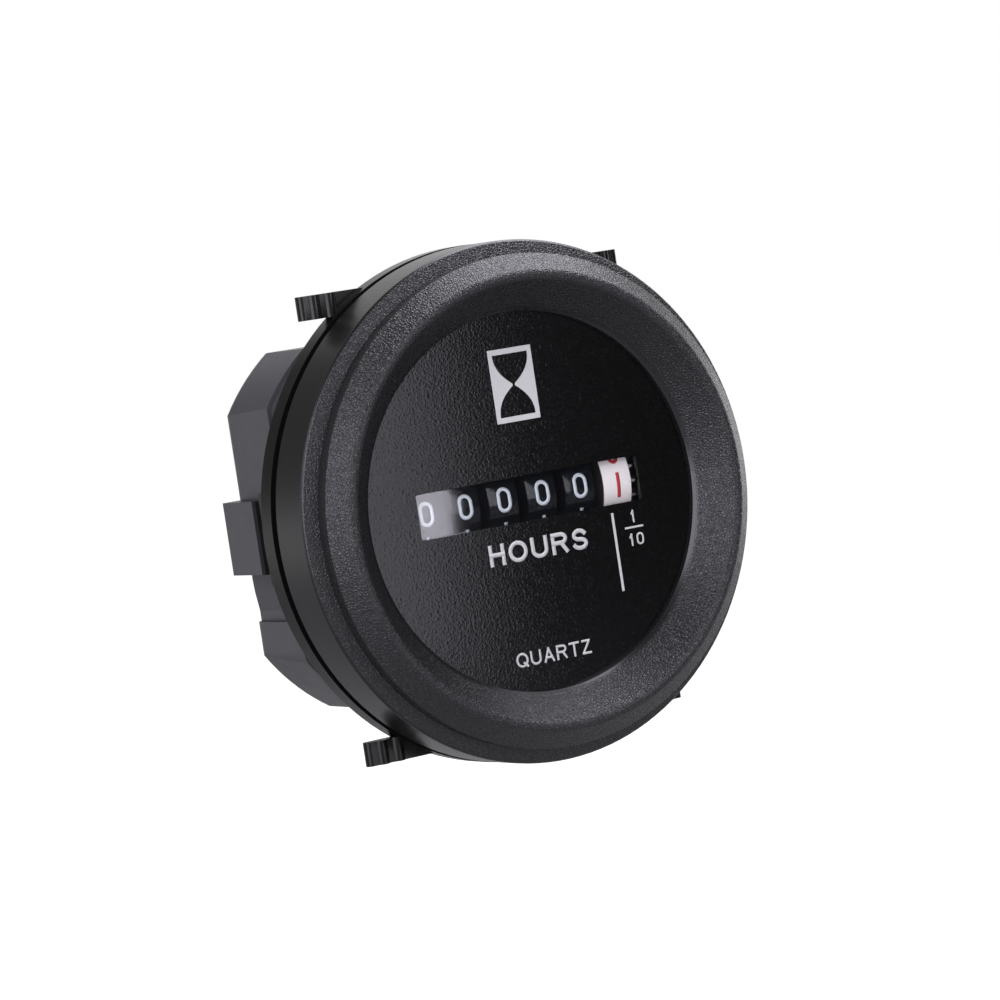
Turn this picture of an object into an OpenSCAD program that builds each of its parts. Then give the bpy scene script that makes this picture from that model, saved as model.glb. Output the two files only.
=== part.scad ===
// Round panel-mount hour meter with a six-wheel number counter and a stepping motor drive.
// Y runs along the barrel and Y = 0 is the panel seat: the face looks towards -Y, +Z is up.

/* [Bezel] */
// Outside diameter of the bezel
bezel_d = 58.5; // [58:0.5:64]
// Width of the panel seat behind the bezel's edge
seat_w = 3.45; // [3:0.05:3.6]
// Depth of the smooth side wall in front of the panel seat
bezel_side = 5.8; // [4.5:0.1:6.2]
// Width of the shoulder round the front edge
shoulder_w = 1.7; // [1:0.1:2.2]
// How far the shoulder rises towards the step
shoulder_rise = 0.6; // [0.2:0.1:0.8]
// Height of the step inside the shoulder
step_h = 1.7; // [1.2:0.1:2]
// Distance from the bezel's edge in to the crest where the two cones meet
crest_inset = 4.25; // [3.5:0.05:5]
// Height of the crest in front of the panel seat
crest_h = 10.5; // [9:0.1:13]
// Rounding of the crest
crest_round = 0.9; // [0.4:0.1:1.4]
// Width of the inner cone between the crest and the opening
cone_w = 3.75; // [3:0.05:4.5]
// Height of the opening's lip in front of the panel seat
lip_h = 6.25; // [5.5:0.05:7]
// Thickness of the lip over the dial
lip_t = 0.7; // [0.4:0.1:1.2]
// Rounding between the side wall and the shoulder
edge_round = 0.35; // [0.2:0.05:0.5]

/* [Dial and window] */
// Thickness of the dial plate
dial_t = 0.6; // [0.4:0.05:0.8]
// Width of the counter window
window_w = 29.2; // [28:0.1:30.4]
// Height of the counter window
window_h = 5.06; // [4:0.02:6.5]
// Height of the counter above the meter's axis
counter_z = 0.42; // [-1:0.02:2]
// How far the row of wheels reaches past each end of the window
window_side = 0.64; // [0.5:0.02:0.8]
// How far the window pane lies behind the dial's front
pane_recess = 0.1; // [0:0.05:0.25]
// Width of the pane's flange behind the dial
pane_flange = 0.45; // [0.3:0.05:0.6]
// Thickness of that flange
pane_flange_t = 0.2; // [0.1:0.05:0.25]

/* [Housing] */
// How much the barrel's radius tapers towards its rear
barrel_draft = 0.6; // [0.3:0.1:1]
// Gap between the movement and the inside of the side flats
flat_gap = 0.55; // [0.4:0.05:1.5]
// How far the flat along the top is cut into the barrel
top_cut = 5.4; // [4.5:0.1:6]
// How far the flat along the bottom is cut into the barrel
bottom_cut = 4.6; // [4:0.1:6]
// Rounding between the side flats and the lower half of the barrel
side_round = 3; // [2:0.1:4]
// Distance from the panel seat to the rear end of the ring's groove
groove_end = 13.6; // [10:0.1:14]
// Depth of that groove round the barrel
groove_depth = 0.5; // [0.3:0.05:0.7]
// Depth of the housing behind the panel seat
housing_depth = 24.6; // [24:0.1:30]
// Length of the round collar in front of the flats
collar_len = 0.8; // [0.5:0.05:1]
// Wall of the barrel
barrel_wall = 1.6; // [1:0.1:1.8]
// Thickness of the rear wall
rear_wall = 1.8; // [1.2:0.1:2.4]
// Rounding of the rear rim
rim_round = 1.6; // [0.8:0.1:1.8]
// Height of the latch block on each flat
latch_w = 8.4; // [6:0.1:10]
// Length of the latch block along the barrel
latch_len = 8.8; // [6:0.1:10]
// How far the latch block stands out from its flat
latch_h = 2.3; // [1.2:0.1:3]
// How far the latch block stops short of the rear
latch_inset = 1.2; // [0.5:0.1:2]
// Chamfer along the latch block's front edge
latch_chamfer = 0.9; // [0.3:0.1:1]
// Height of the hollow below the latch block
hollow_w = 5.8; // [4:0.1:7]
// Depth of that hollow
hollow_depth = 0.9; // [0.4:0.1:1]
// Width of the hollow's level floor
hollow_floor = 1.2; // [0.8:0.1:2]

/* [Gasket and retaining ring] */
// Thickness of the panel gasket
gasket_t = 1.1; // [0.8:0.1:2]
// How far the gasket's edge lies inside the bezel's edge
gasket_inset = 1.05; // [0.8:0.05:1.6]
// How far the retaining ring's edge stands outside the bezel's edge
ring_over = 0.05; // [0:0.05:0.5]
// Thickness of the retaining ring
ring_t = 2.25; // [1.5:0.05:3]
// Length of the ring's two side tongues behind the ring
tongue_len = 9; // [6:0.1:10]
// Width of a side tongue
tongue_w = 10.4; // [9:0.1:12]
// Thickness of a side tongue
tongue_t = 1; // [0.8:0.05:1.4]
// Width of the notches that pass the latch blocks
notch_w = 12; // [10.6:0.1:14]
// Distance from the ring's side in to a spring finger's tip
finger_inset = 8.1; // [7:0.1:9]
// Distance from the ring's top down to the middle of a finger
finger_drop = 4.35; // [4:0.05:4.8]
// Width of a finger
finger_w = 2.7; // [2:0.1:3.2]
// Thickness of a finger
finger_t = 1.3; // [0.8:0.1:1.5]
// Radius of the finger's cross ridges
ridge_r = 0.8; // [0.6:0.05:0.8]
// How far the ridges stand out from the finger
ridge_h = 0.4; // [0.3:0.05:0.5]
// Distance between the two ridges
ridge_pitch = 2; // [1.6:0.1:2.2]

/* [Counter] */
// Diameter of a number wheel
wheel_d = 12.4; // [11.8:0.1:12.8]
// Gap between a wheel's gear and the carry disc of the next wheel
wheel_gap = 0.18; // [0.15:0.01:0.25]
// How far the figures lie to the right of the drum's middle
figure_shift = 0.45; // [0.3:0.05:0.5]
// Distance from the dial's front to the crest of the wheels
wheel_recess = 1; // [0.9:0.05:1.6]
// Diameter of the wheels' axle
axle_d = 1.9; // [1.5:0.1:2.4]
// Module of the counter's teeth
counter_module = 0.5; // [0.48:0.01:0.52]
// Teeth on each wheel's gear
wheel_teeth = 20; // [20]
// Teeth on each transfer pinion
pinion_teeth = 8; // [8]
// Width of the gear beside each hours drum
gear_w = 0.6; // [0.5:0.05:0.7]
// Width of the gear beside the tenths drum
tenths_gear_w = 1.6; // [1.2:0.1:1.8]
// Width of the carry disc on a wheel's left side
carry_w = 0.5; // [0.4:0.05:0.55]
// Radius of the notch in the carry disc
carry_notch_r = 0.5; // [0.3:0.05:0.7]
// Diameter of the transfer pinions' axle
pinion_axle_d = 1.2; // [1:0.1:1.4]
// Angle of the pinion axle below the wheels' front
pinion_angle = 60; // [55:1:70]

/* [Gear train] */
// Angle of the drive gear above the wheels' rear
drive_angle = 40; // [38:1:44]
// Angle of the motor's rotor below the reduction gear
rotor_angle = 262; // [258:1:266]
// Module of the drive gear
drive_module = 0.28; // [0.26:0.01:0.28]
// Teeth on the drive gear
drive_teeth = 40; // [40]
// Module of the reduction gear
reduction_module = 0.24; // [0.22:0.01:0.25]
// Teeth on the reduction gear
reduction_teeth = 50; // [50]
// Teeth on the pinion that drives each of these gears
driver_teeth = 10; // [10]
// Thickness of the gear discs
gear_t = 0.7; // [0.5:0.05:0.8]
// Diameter of the drive gear's stud
stud_d = 1; // [0.8:0.1:1.2]
// Diameter of the arbors of the reduction gear and the rotor
arbor_d = 1.2; // [1:0.1:1.4]
// Diameter of the arbors' pivots
pivot_d = 0.8; // [0.6:0.1:0.9]

/* [Frame] */
// Thickness of the frame's side plates and the gear plate
plate_t = 1; // [0.8:0.1:1.2]
// Height of the side plates at the dial
plate_front_h = 15.5; // [13:0.5:18]
// Width of the frame's cross bars
bar_w = 1.5; // [1.2:0.1:1.8]
// Distance between the gear plate and the right side plate
plate_span = 9.6; // [9:0.1:10]
// Diameter of the pillars between these two
pillar_d = 2.6; // [2.2:0.1:2.8]
// Edge left round each hole of a plate
plate_edge = 1.8; // [1.6:0.1:2]
// Distance from the wheels down to the lower cross bar
bar_drop = 3.8; // [3.6:0.1:4.2]
// How far the lower cross bar lies in front of the wheels' rear
bar_set = 2.6; // [2.4:0.1:3]
// Place of the lower pillar seen from the lower bar, to the rear
pillar_set = 1.75; // [1.6:0.05:1.9]
// Place of the lower pillar seen from the lower bar, upwards
pillar_rise = 2.7; // [2.5:0.1:2.9]

/* [Motor] */
// Diameter of the rotor magnet
magnet_d = 6.4; // [5:0.1:6.6]
// Length of the rotor magnet
magnet_w = 2; // [1.5:0.1:2.4]
// Air gap round the magnet
air_gap = 0.35; // [0.25:0.05:0.5]
// Thickness of the stator
stator_t = 1; // [0.8:0.1:1.2]
// Width of the stator's legs
leg_w = 3.2; // [2.8:0.1:3.2]
// Iron left round the rotor's bore
yoke_rim = 1.4; // [1.2:0.1:1.5]
// How far the stator reaches on behind the rotor's yoke
yoke_rear = 2.4; // [2.2:0.1:2.6]
// Distance from the rotor to the coil's axis
coil_drop = 9.3; // [9.2:0.1:10]
// Width of the coil core
core_w = 2.4; // [1.8:0.1:2.4]
// Thickness of the coil core
core_t = 0.8; // [0.6:0.1:0.9]
// Diameter of the bobbin's flanges
flange_d = 6; // [5.4:0.1:6]
// Thickness of the bobbin's flanges
flange_t = 0.6; // [0.4:0.1:0.8]
// Diameter of the winding
winding_d = 5.4; // [4.6:0.1:5.4]

/* [Electronics and terminals] */
// Width of the circuit board
board_w = 34; // [30:0.5:35]
// Height of the circuit board
board_h = 27; // [25:0.5:28]
// Thickness of the circuit board
board_t = 1.2; // [0.8:0.1:1.4]
// Distance from the board to the rear wall
board_gap = 0.7; // [0.6:0.1:1]
// Distance between the two terminal blades
terminal_pitch = 16; // [12:0.5:18]
// Width of a terminal blade
blade_w = 6.35; // [4.75:0.05:6.35]
// Thickness of a terminal blade
blade_t = 0.8; // [0.5:0.1:0.8]
// Length of a terminal blade behind the housing
blade_len = 8.5; // [6:0.1:10]
// Thickness of the shoulder that stops the blade
shoulder_t = 0.55; // [0.4:0.05:0.55]
// Diameter of the hole in a terminal blade
blade_hole_d = 1.8; // [1.4:0.1:2]
// Shank diameter of the screws
screw_d = 1.5; // [1.2:0.1:1.6]
// Head diameter of the screws
head_d = 3.2; // [2.8:0.1:3.4]
// Height of the screw heads
head_h = 0.8; // [0.6:0.1:1]

/* [Fits] */
// Radial gap of a turning part on its axle
run_gap = 0.04; // [0.02:0.01:0.08]
// Gap of a fixed part in its seat
seat_gap = 0.05; // [0.02:0.01:0.1]
// Gap between parts that move past each other
side_gap = 0.15; // [0.12:0.01:0.18]
// Gap between the retaining ring and the barrel
ring_gap = 0.15; // [0.1:0.01:0.3]

/* [Hidden] */
$fn = 96;
cut = 0.01;

// Stations along the barrel
dial_front = lip_t - lip_h;
dial_back = dial_front + dial_t;
rear_inside = housing_depth - rear_wall;
board_back = rear_inside - board_gap;
board_front = board_back - board_t;
ring_back = gasket_t + ring_t;

// Radii of the bezel, the ring and the barrel, all from the bezel's diameter
bezel_r = bezel_d / 2;
crest_r = bezel_r - crest_inset;
opening_r = crest_r - cone_w;
ring_r = bezel_r + ring_over;
gasket_r = bezel_r - gasket_inset;
barrel_r = bezel_r - seat_w;

// Number wheels: wheel 1 is the leftmost, the last one counts tenths
wheel_count = 6;
wheel_pitch = (window_w + 2 * window_side) / wheel_count;
drum_w = wheel_pitch - gear_w - carry_w - wheel_gap;
figure_offset = drum_w / 2 + figure_shift;
wheel_r = wheel_d / 2;
axle_r = axle_d / 2;
wheel_axis = [dial_front + wheel_recess + wheel_r, counter_z];
function figure_x(k) = (k - (wheel_count + 1) / 2) * wheel_pitch;
function drum_left(k) = figure_x(k) - figure_offset;
function drum_right(k) = drum_left(k) + drum_w;

// Tooth proportions, in modules above and below the pitch circle
tooth_tip = 0.8;
tooth_root = 1.15;

// Half thickness of a tooth at its root, pitch circle and tip, as a share of the tooth pitch
root_share = 0.27;
pitch_share = 0.2;
tip_share = 0.1;
function pitch_r(teeth, modul) = teeth * modul / 2;
function tip_r(teeth, modul) = pitch_r(teeth, modul) + tooth_tip * modul;
function mesh(teeth_a, teeth_b, modul) = pitch_r(teeth_a, modul) + pitch_r(teeth_b, modul);
function polar(r, angle) = [r * cos(angle), r * sin(angle)];

// Half the angle that a share of the tooth pitch takes at radius r
function tooth_half(r, modul, share) = share * modul / r * 180;

// Axes of the train as [Y, Z], each one meshing with the one before
counter_mesh = mesh(wheel_teeth, pinion_teeth, counter_module);
pinion_dir = 180 + pinion_angle;
pinion_axis = wheel_axis + polar(counter_mesh, pinion_dir);
drive_axis = wheel_axis + polar(counter_mesh, drive_angle);
reduction_axis = drive_axis + [mesh(drive_teeth, driver_teeth, drive_module), 0];
rotor_mesh = mesh(reduction_teeth, driver_teeth, reduction_module);
rotor_axis = reduction_axis + polar(rotor_mesh, rotor_angle);
pinion_tip = tip_r(pinion_teeth, counter_module);
reduction_tip = tip_r(reduction_teeth, reduction_module);
carry_r = counter_mesh - pinion_tip - side_gap;

// Stations of the train across the meter
disc_gap = 0.2;
tenths_gear_right = drum_right(wheel_count) + tenths_gear_w;
drive_pinion_x = drum_right(wheel_count) + side_gap;
drive_gear_x = tenths_gear_right + disc_gap;
reduction_x = drive_pinion_x - 3 * disc_gap - gear_t;
plate_right = drive_gear_x + gear_t + 2 * disc_gap;
plate_left = drum_left(1) - 3 * disc_gap;
flat_x = plate_right + plate_t + head_h + flat_gap + barrel_wall;
gear_plate_right = plate_right - plate_span;
stator_x = gear_plate_right + plate_t;
magnet_x = stator_x + stator_t / 2 - magnet_w / 2;

// Frame: cross bars behind the wheels, pillars between the gear plate and the right side plate
tip_gap = 0.1;
lower_bar = wheel_axis + [wheel_r - bar_set, -wheel_r - bar_drop];
upper_bar_y = (drive_axis[0] + reduction_axis[0]) / 2 - 6 * disc_gap;
upper_bar = [upper_bar_y, reduction_axis[1] + reduction_tip + bar_w / 2 + tip_gap];
upper_pillar = reduction_axis + [0, reduction_tip + pillar_d / 2 + 4 * tip_gap];
lower_pillar = lower_bar + [pillar_set, pillar_rise];
reduction_edge = plate_edge + 4 * disc_gap;
upper_screw_x = figure_x(1) + wheel_pitch / 2;
lower_screw_x = figure_x(2) + wheel_pitch / 3;
frame_screw_at = [[upper_screw_x, upper_bar[0], upper_bar[1]], [lower_screw_x, lower_bar[0], lower_bar[1]]];
post_d = 4.4;
pilot_depth = 6;
pilot_spare = 1;
pilot_bore = screw_d + 2 * seat_gap;

// Stator and coil
magnet_r = magnet_d / 2;
yoke_half = magnet_r + yoke_rim;
leg_front = rotor_axis[0] - yoke_half;
leg_rear = rotor_axis[0] + yoke_half + yoke_rear;
coil_z = rotor_axis[1] - coil_drop;
peg_z = rotor_axis[1] - yoke_half + 4 * tip_gap;
peg_y = [leg_front + leg_w / 2, leg_rear - leg_w / 2];
peg_r = 0.7;
peg_collar_r = plate_edge * 0.75;
core_x = stator_x + stator_t;
coil_x = core_x + core_t / 2;
bobbin_wall = 0.5;
bobbin_r = norm([core_w, core_t]) / 2 + bobbin_wall;
bobbin_y = [leg_front + leg_w + side_gap, leg_rear - leg_w - side_gap];

// Board screws at two corners of the board, and the slot that a terminal blade passes
board_screw = [13.5, 11];
board_post_d = 4;
blade_slot = [blade_t + 2 * seat_gap, blade_w + 2 * seat_gap];
blade_chamfer = 1;
tail_rest = 0.4;

// Places of the components on the board's front as [X, Z], and their sizes
chip_at = [-12.2, 1.5];
chip_size = [6.2, 2.6, 8.6];
chip_leg = [0.5, 1.2, 0.5];
chip_leg_pitch = 2.1;
crystal_at = [-3.5, -1];
crystal_size = [3, 8];
diode_at = [-15.6, 9.5];
diode_size = [2.2, 5];
resistor_at = [[1, 7], [0.8, -6.5]];
resistor_size = [1.9, 6];
capacitor_at = [-4.5, 8.5];
capacitor_size = [5, 7];
lead_d = 0.6;
standoff = 0.3;

// Solid of a [r, y] outline turned about the barrel's axis
module turned(points) {
    rotate([-90, 0, 0]) rotate_extrude($fn = 180) polygon(points);
}

// A [y, z] outline extruded along X from x0
module across(x0, width) {
    translate([x0, 0, 0]) rotate([90, 0, 90]) linear_extrude(width) children();
}

// An [x, z] outline extruded along Y from y0
module along(y0, length) {
    translate([0, y0 + length, 0]) rotate([90, 0, 0]) linear_extrude(length) children();
}

// A disc across the meter, centred on the [y, z] axis
module disc(x0, width, axis, r) {
    across(x0, width) translate(axis) circle(r);
}

// Points of the arc that rounds corner b of the path a, b, c
function rounded(a, b, c, r, steps = 6) =
    let (
        u = (a - b) / norm(a - b),
        v = (c - b) / norm(c - b),
        half = acos(u * v) / 2,
        start = b + u * r / tan(half),
        end = b + v * r / tan(half),
        bisector = (u + v) / norm(u + v),
        centre = b + bisector * r / sin(half)
    )
    [for (i = [0 : steps])
        let (chord = start + (end - start) * i / steps, out = chord - centre)
        centre + out / norm(out) * r];

// A gear with straight-flanked teeth, one of them centred on the given angle
module gear(teeth, modul, angle, skip = 1) {
    pitch = 360 / teeth;
    root = pitch_r(teeth, modul) - tooth_root * modul;
    tip = tip_r(teeth, modul);
    pitch_line = pitch_r(teeth, modul);
    at_root = tooth_half(root, modul, root_share);
    at_pitch = tooth_half(pitch_line, modul, pitch_share);
    at_tip = tooth_half(tip, modul, tip_share);
    foot = root - tooth_tip * modul / 2;
    circle(root);
    for (i = [0 : skip : teeth - 1])
        rotate(angle + i * pitch)
            polygon([polar(foot, -at_root), polar(pitch_line, -at_pitch), polar(tip, -at_tip),
                polar(tip, at_tip), polar(pitch_line, at_pitch), polar(foot, at_root)]);
}

// Outline of the barrel with its four flats, larger all round by the given gap
module barrel_section(gap) {
    side = flat_x + gap;
    low = barrel_r - bottom_cut + gap;
    high = barrel_r - top_cut + gap;
    intersection() {
        circle(barrel_r + gap, $fn = 180);
        translate([-side, -low]) square([2 * side, low + high]);
    }
}

module bezel() {
    step_r = bezel_r - shoulder_w;
    shoulder_top = bezel_side + shoulder_rise;
    seat_r = barrel_r + seat_gap;
    crest = rounded([step_r, -shoulder_top - step_h], [crest_r, -crest_h],
        [opening_r, -lip_h], crest_round);
    edge = rounded([bezel_r, 0], [bezel_r, -bezel_side], [step_r, -shoulder_top], edge_round, 3);
    color("#1b1b1c")
        turned(concat(
            [[seat_r, 0], [bezel_r, 0]],
            edge,
            [[step_r, -shoulder_top], [step_r, -shoulder_top - step_h]],
            crest,
            [[opening_r, -lip_h], [opening_r, dial_front], [seat_r, dial_front]]));
}

module dial_plate() {
    color("#151516")
        difference() {
            along(dial_front, dial_t) circle(barrel_r, $fn = 180);
            translate([0, 0, counter_z])
                along(dial_front - cut, dial_t + 2 * cut) square([window_w, window_h], center = true);
        }
}

module window_pane() {
    pane = [window_w - 2 * seat_gap, window_h - 2 * seat_gap];
    flange = [window_w + 2 * pane_flange, window_h + 2 * pane_flange];
    pane_front = dial_front + pane_recess;
    color("#dfe8ec", 0.3)
        translate([0, 0, counter_z]) {
            along(pane_front, dial_back - pane_front + cut) square(pane, center = true);
            along(dial_back, pane_flange_t) square(flange, center = true);
        }
}

module panel_gasket() {
    color("#101011")
        along(0, gasket_t)
            difference() {
                circle(gasket_r, $fn = 180);
                circle(barrel_r + ring_gap, $fn = 180);
            }
}

// One spring finger with its two cross ridges and round tip, in the upper right corner
module spring_finger() {
    finger_back = ring_back;
    finger_front = finger_back - finger_t;
    tip_radius = finger_t / 2;
    tip_x = ring_r - finger_inset - tip_radius;
    finger_z = ring_r - finger_drop;
    root_x = sqrt(pow(ring_r, 2) - pow(finger_z + finger_w / 2, 2)) - ring_t;
    translate([0, 0, finger_z - finger_w / 2]) {
        translate([root_x, finger_front, 0]) cube([tip_x - root_x, finger_t, finger_w]);
        translate([tip_x, finger_back - tip_radius, 0]) cylinder(r = tip_radius, h = finger_w);
        for (i = [0, 1])
            translate([tip_x - 2 * tip_radius - i * ridge_pitch, finger_front + ridge_r - ridge_h, 0])
                cylinder(r = ridge_r, h = finger_w);
    }
}

// Tongue behind the right side of the ring, over the latch block
module side_tongue() {
    along(ring_back - cut, tongue_len + cut)
        translate([flat_x + latch_h + ring_gap, -tongue_w / 2]) square([tongue_t, tongue_w]);
}

module retaining_ring() {
    color("#19191a") {
        along(gasket_t, ring_t)
            difference() {
                circle(ring_r, $fn = 180);
                barrel_section(ring_gap);
                square([2 * (flat_x + latch_h + ring_gap), notch_w], center = true);
            }
        for (x = [0, 1], z = [0, 1])
            mirror([x, 0, 0]) mirror([0, 0, z]) spring_finger();
        for (x = [0, 1])
            mirror([x, 0, 0]) side_tongue();
    }
}

// Outline of two facing flats as [distance from the axis, y], each rounded by r at the rear
function flats(low, high, rear_y, r) =
    let (
        reach = 2 * barrel_r,
        start = dial_back - barrel_wall,
        upper = rounded([high, collar_len], [high, rear_y], [0, rear_y], r),
        lower = rounded([0, rear_y], [-low, rear_y], [-low, collar_len], r)
    )
    concat([[-reach, start], [reach, start], [reach, collar_len], [high, collar_len]], upper, lower,
        [[-low, collar_len], [-reach, collar_len]]);

// Barrel between dial and rear wall, smaller by inset, with its rear rim rounded by r
module barrel(inset, rear_y, r) {
    front = barrel_r - inset;
    rear = barrel_r - barrel_draft - inset;
    side = flat_x - inset;
    reach = 2 * barrel_r;
    rim = rounded([front, collar_len], [rear, rear_y], [0, rear_y], r);
    intersection() {
        turned(concat([[0, dial_back], [front, dial_back], [front, collar_len]], rim, [[0, rear_y]]));
        translate([0, 0, -reach]) linear_extrude(2 * reach) polygon(flats(side, side, rear_y, r));
        across(-reach, 2 * reach)
            polygon([for (p = flats(front - bottom_cut, front - top_cut, rear_y, r)) [p[1], p[0]]]);
    }
}

// What the rounding takes off the edge between the right flat and the lower half of the barrel
module side_rounding() {
    outer = barrel_r - barrel_draft / 2;
    centre_x = flat_x - side_round;
    centre = [centre_x, -sqrt(pow(outer - side_round, 2) - pow(centre_x, 2))];
    meet = centre * outer / norm(centre);
    along(collar_len, housing_depth)
        difference() {
            polygon([centre, [flat_x + cut, centre[1]], [flat_x + cut, meet[1] - side_round],
                meet + [0, -side_round], meet * (1 + cut)]);
            translate(centre) circle(side_round);
        }
}

// The groove behind the ring, all round the barrel
module ring_groove() {
    difference() {
        along(ring_back, groove_end - ring_back) square(4 * barrel_r, center = true);
        barrel(groove_depth, housing_depth, rim_round);
    }
}

// Latch block on the right flat, with a chamfered front edge and a sloped hollow below it
module latch_block() {
    back = housing_depth - latch_inset;
    front = back - latch_len;
    top = flat_x + latch_h;
    translate([0, 0, -latch_w / 2])
        linear_extrude(latch_w)
            polygon([[flat_x - barrel_wall / 2, front], [top - latch_chamfer, front],
                [top, front + latch_chamfer], [top, back], [flat_x - barrel_wall / 2, back]]);
}

module latch_hollow() {
    top = -latch_w / 2;
    bottom = top - hollow_w;
    along(ring_back, housing_depth)
        polygon([[flat_x + cut, top], [flat_x - hollow_depth, bottom + hollow_floor],
            [flat_x - hollow_depth, bottom], [flat_x + cut, bottom]]);
}

// Post on the rear wall, and the pilot hole in its front end
module post(x, z, front, d) {
    translate([x, front, z]) rotate([-90, 0, 0]) cylinder(d = d, h = rear_inside + cut - front);
}

module pilot(x, z, front, depth) {
    translate([x, front - cut, z]) rotate([-90, 0, 0]) cylinder(d = pilot_bore, h = depth + cut);
}

module rear_housing() {
    color("#2a2a2b")
        difference() {
            union() {
                difference() {
                    union() {
                        barrel(0, housing_depth, rim_round);
                        for (side = [0, 1]) mirror([side, 0, 0]) latch_block();
                    }
                    translate([0, -cut, 0]) barrel(barrel_wall, rear_inside + cut, rim_round / 2);
                    ring_groove();
                    for (side = [0, 1]) mirror([side, 0, 0]) {
                        latch_hollow();
                        side_rounding();
                    }
                }
                for (place = frame_screw_at)
                    post(place[0], place[2], place[1] + bar_w / 2, post_d);
                for (side = [-1, 1])
                    post(side * board_screw[0], side * board_screw[1], board_back, board_post_d);
            }
            for (place = frame_screw_at)
                pilot(place[0], place[2], place[1] + bar_w / 2, pilot_depth);
            for (side = [-1, 1]) {
                pilot(side * board_screw[0], side * board_screw[1], board_back, board_gap + rear_wall / 2);
                along(rear_inside - cut, rear_wall + 2 * cut)
                    translate([side * terminal_pitch / 2, 0]) square(blade_slot, center = true);
            }
        }
}

// Side plate outline shared by both sides of the frame, in front of the motor
function plate_outline(rear_points) = concat(
    [[upper_bar[0] - bar_w / 2, upper_bar[1] + bar_w / 2],
        [dial_back, counter_z + plate_front_h / 2],
        [dial_back, counter_z - plate_front_h / 2],
        [lower_bar[0] - bar_w, lower_bar[1] - bar_w / 2],
        [lower_bar[0] + bar_w / 2, lower_bar[1] - bar_w / 2]],
    rear_points,
    [[upper_bar[0] + bar_w / 2, upper_bar[1] + bar_w / 2]]);

module counter_frame() {
    left_outer = plate_left - plate_t;
    span = plate_right - plate_left;
    pivot_bore = pivot_d / 2 + run_gap;
    color("#d9d6cc")
        difference() {
            union() {
                across(left_outer, plate_t) polygon(plate_outline([]));
                across(plate_right, plate_t)
                    polygon(plate_outline([
                        lower_pillar + [plate_edge, -plate_edge],
                        rotor_axis + [plate_edge, -plate_edge],
                        reduction_axis + [reduction_edge, 0],
                        upper_pillar + [plate_edge, plate_edge]]));
                for (bar = [lower_bar, upper_bar])
                    across(plate_left - cut, span + 2 * cut)
                        translate(bar) square(bar_w, center = true);
                for (place = frame_screw_at)
                    translate(place) rotate([90, 0, 0]) cylinder(d = post_d, h = bar_w, center = true);
            }
            for (x = [left_outer, plate_right]) {
                disc(x - cut, plate_t + 2 * cut, wheel_axis, axle_r + seat_gap);
                disc(x - cut, plate_t + 2 * cut, pinion_axis, pinion_axle_d / 2 + seat_gap);
            }
            disc(plate_right - cut, plate_t + 2 * cut, drive_axis, stud_d / 2 + seat_gap);
            for (axis = [reduction_axis, rotor_axis])
                disc(plate_right - cut, plate_t + 2 * cut, axis, pivot_bore);
            for (axis = [upper_pillar, lower_pillar])
                disc(plate_right - cut, plate_t + 2 * cut, axis, pilot_bore / 2);
            for (place = frame_screw_at)
                translate(place) rotate([90, 0, 0]) cylinder(d = pilot_bore, h = 2 * bar_w, center = true);
        }
}

module wheel_axle() {
    color("#b9bcc0")
        disc(plate_left - plate_t, plate_right - plate_left + 2 * plate_t, wheel_axis, axle_r);
}

// Drum, side gear and carry disc of wheel k, turning on the axle
module number_wheel(k, side_gear_w, mesh_angle) {
    left = drum_left(k) - (k > 1 ? carry_w : 0);
    right = drum_right(k) + side_gear_w;
    difference() {
        union() {
            disc(drum_left(k), drum_w, wheel_axis, wheel_r);
            across(drum_right(k) - cut, side_gear_w + cut)
                translate(wheel_axis) gear(wheel_teeth, counter_module, mesh_angle);
            if (k > 1)
                across(left, carry_w + cut)
                    translate(wheel_axis)
                        difference() {
                            circle(carry_r);
                            translate(polar(carry_r, pinion_dir)) circle(carry_notch_r);
                        }
        }
        disc(left - cut, right - left + 2 * cut, wheel_axis, axle_r + run_gap);
    }
}

module hour_wheel(k) {
    color("#18181a") number_wheel(k, gear_w, pinion_dir);
}

module tenths_wheel() {
    color("#f0eeea") number_wheel(wheel_count, tenths_gear_w, drive_angle);
}

module pinion_axle() {
    color("#b9bcc0")
        disc(plate_left - plate_t, plate_right - plate_left + 2 * plate_t, pinion_axis, pinion_axle_d / 2);
}

// Pinion k meshes with wheel k; every second tooth is short on the side of the next wheel
module transfer_pinion(k) {
    x0 = drum_right(k) + side_gap;
    x1 = drum_left(k + 1) - side_gap;
    full_w = gear_w - side_gap + seat_gap;
    gap_angle = pinion_dir - 180 + 180 / pinion_teeth;
    color("#e6e4df")
        difference() {
            union() {
                across(x0, full_w)
                    translate(pinion_axis) gear(pinion_teeth, counter_module, gap_angle);
                across(x0 + full_w - cut, x1 - x0 - full_w + cut)
                    translate(pinion_axis) gear(pinion_teeth, counter_module, gap_angle, 2);
            }
            disc(x0 - cut, x1 - x0 + 2 * cut, pinion_axis, pinion_axle_d / 2 + run_gap);
        }
}

module drive_gear() {
    gap_angle = drive_angle + 180 + 180 / pinion_teeth;
    color("#e6e4df")
        difference() {
            union() {
                across(drive_pinion_x, drive_gear_x - drive_pinion_x + cut)
                    translate(drive_axis) gear(pinion_teeth, counter_module, gap_angle);
                across(drive_gear_x, gear_t)
                    translate(drive_axis) gear(drive_teeth, drive_module, 0);
            }
            disc(drive_pinion_x - cut, drive_gear_x + gear_t - drive_pinion_x + 2 * cut,
                drive_axis, stud_d / 2 + run_gap);
        }
}

module drive_stud() {
    left = drive_pinion_x - disc_gap;
    color("#b9bcc0")
        disc(left, plate_right + plate_t - left, drive_axis, stud_d / 2);
}

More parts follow.
